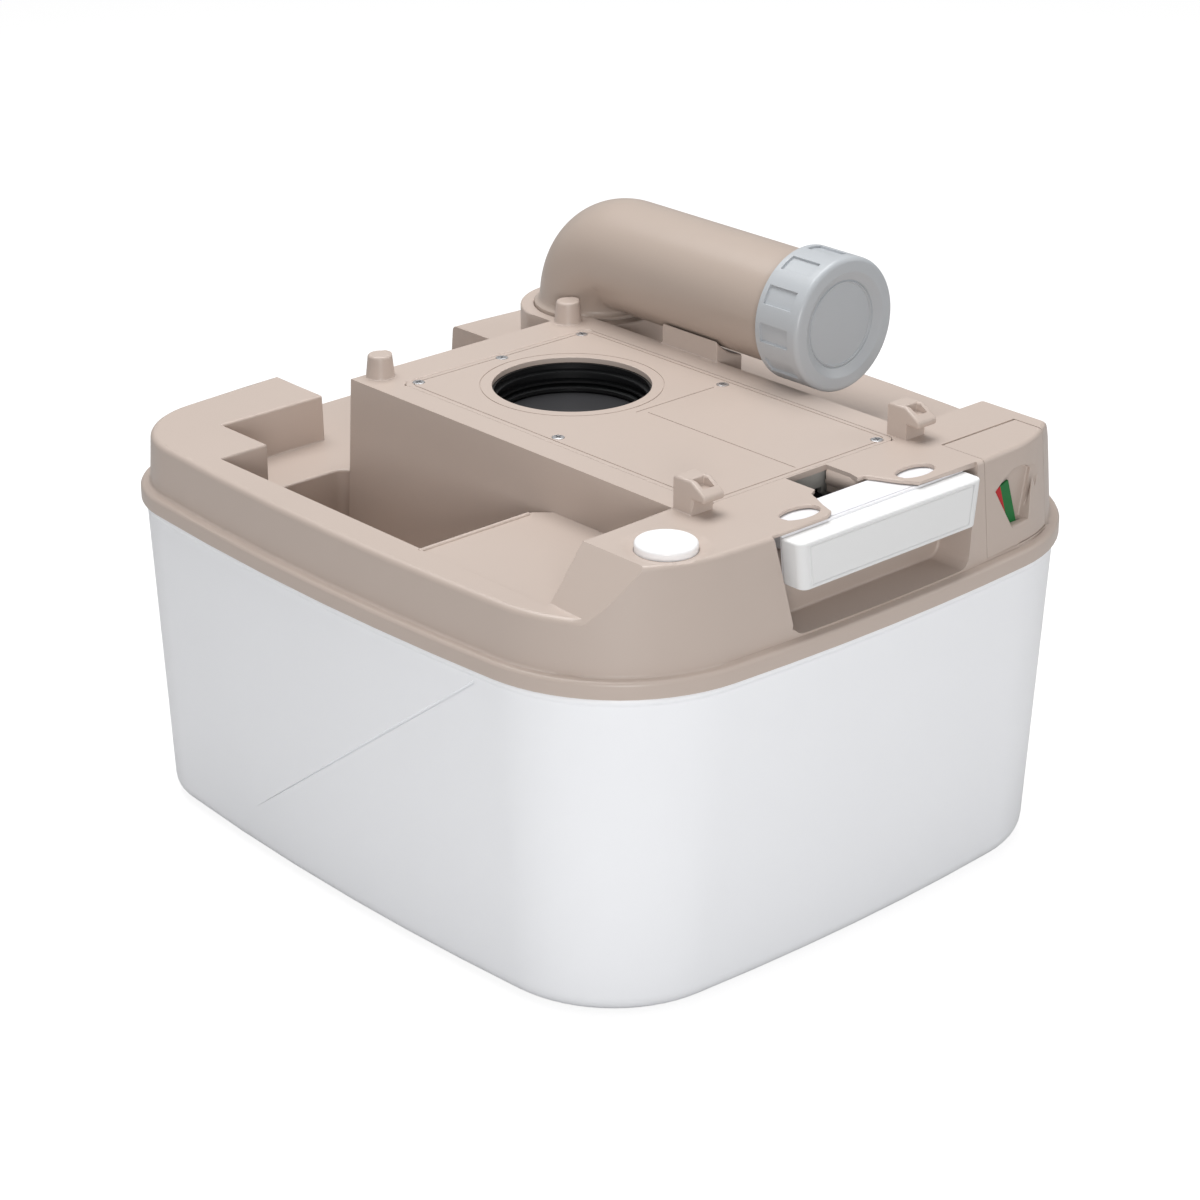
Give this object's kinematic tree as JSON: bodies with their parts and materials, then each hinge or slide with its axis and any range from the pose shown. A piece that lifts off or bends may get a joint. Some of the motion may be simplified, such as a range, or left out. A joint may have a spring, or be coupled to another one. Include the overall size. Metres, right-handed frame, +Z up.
{
  "type": "portable toilet holding tank",
  "caption": "Portable toilet waste tank: pale tub, taupe cover with slide-valve inlet, pull handle, vent button, level gauge and swivelling pour-out spout with screw cap.",
  "frame": {"origin": "centre of the bottom of the bounding box, on the floor plane under the tub", "axes": "+Z up, -Y towards the pull handle (front), +X to the right seen from the front, on the spout's side"},
  "size_m": [0.365, 0.4026, 0.2949],
  "materials": {
    "tub_plastic": "smooth blow-moulded pale grey-white",
    "cover_plastic": "satin taupe",
    "guide_plastic": "plain moulded, pale",
    "seal_rubber": "matt black",
    "blade_plastic": "dark satin",
    "screw_steel": "bright",
    "spring_steel": "drawn wire",
    "white_plastic": "gloss white",
    "vane_plastic": "green with a red edge band",
    "cap_plastic": "satin grey",
    "float_foam": "off-white"
  },
  "bodies": {
    "tank": {"tank_tub": "tub_plastic", "tank_cover": "cover_plastic", "rim_gasket": "seal_rubber", "valve_plate": "cover_plastic", "plate_screws": "screw_steel", "valve_tray": "guide_plastic", "inlet_seal": "seal_rubber", "blade_seal": "seal_rubber", "vent_sleeve": "guide_plastic", "vent_spring": "spring_steel", "gauge_housing": "cover_plastic"},
    "blade": {"valve_blade": "blade_plastic", "pull_handle": "white_plastic"},
    "vent": {"vent_button": "white_plastic", "vent_stem": "guide_plastic", "vent_seal": "seal_rubber"},
    "gauge": {"gauge_vane": "vane_plastic", "gauge_shaft": "screw_steel", "gauge_arm": "guide_plastic", "gauge_float": "float_foam"},
    "spout": {"spout_elbow": "cover_plastic", "spout_ring": "seal_rubber", "spout_retainer": "guide_plastic"},
    "cap_seal": {"cap_washer": "seal_rubber"},
    "cap": {"spout_cap": "cap_plastic"}
  },
  "joints": [
    {"name": "blade_slide", "type": "slide", "parent": "tank", "child": "blade", "axis": [0, -1, 0], "range_m": [0, 0.092]},
    {"name": "vent_press", "type": "slide", "parent": "tank", "child": "vent", "axis": [0, 0, -1], "range_m": [0, 0.0035], "stiffness_N_per_m": 400, "springref_m": -0.003, "deforming": ["vent_spring"]},
    {"name": "gauge_swing", "type": "hinge", "parent": "tank", "child": "gauge", "pos_m": [0.10202, -0.187, 0.184], "axis": [0, 1, 0], "range_deg": [0, 30]},
    {"name": "spout_swivel", "type": "hinge", "parent": "tank", "child": "spout", "pos_m": [0.1017, 0.11755, 0.2], "axis": [0, 0, 1], "range_deg": [0, 180]},
    {"name": "cap_lift", "type": "slide", "parent": "spout", "child": "cap_seal", "axis": [0, -1, 0], "range_m": [0, 0.024]},
    {"name": "cap_turn", "type": "hinge", "parent": "cap_seal", "child": "cap", "pos_m": [0.1017, -0.068, 0.2597], "axis": [0, -1, 0], "range_deg": [0, 720]}
  ],
  "couplings": [
    {"joint": "cap_turn", "follows": "cap_lift", "rad_per_m": 523.59}
  ]
}
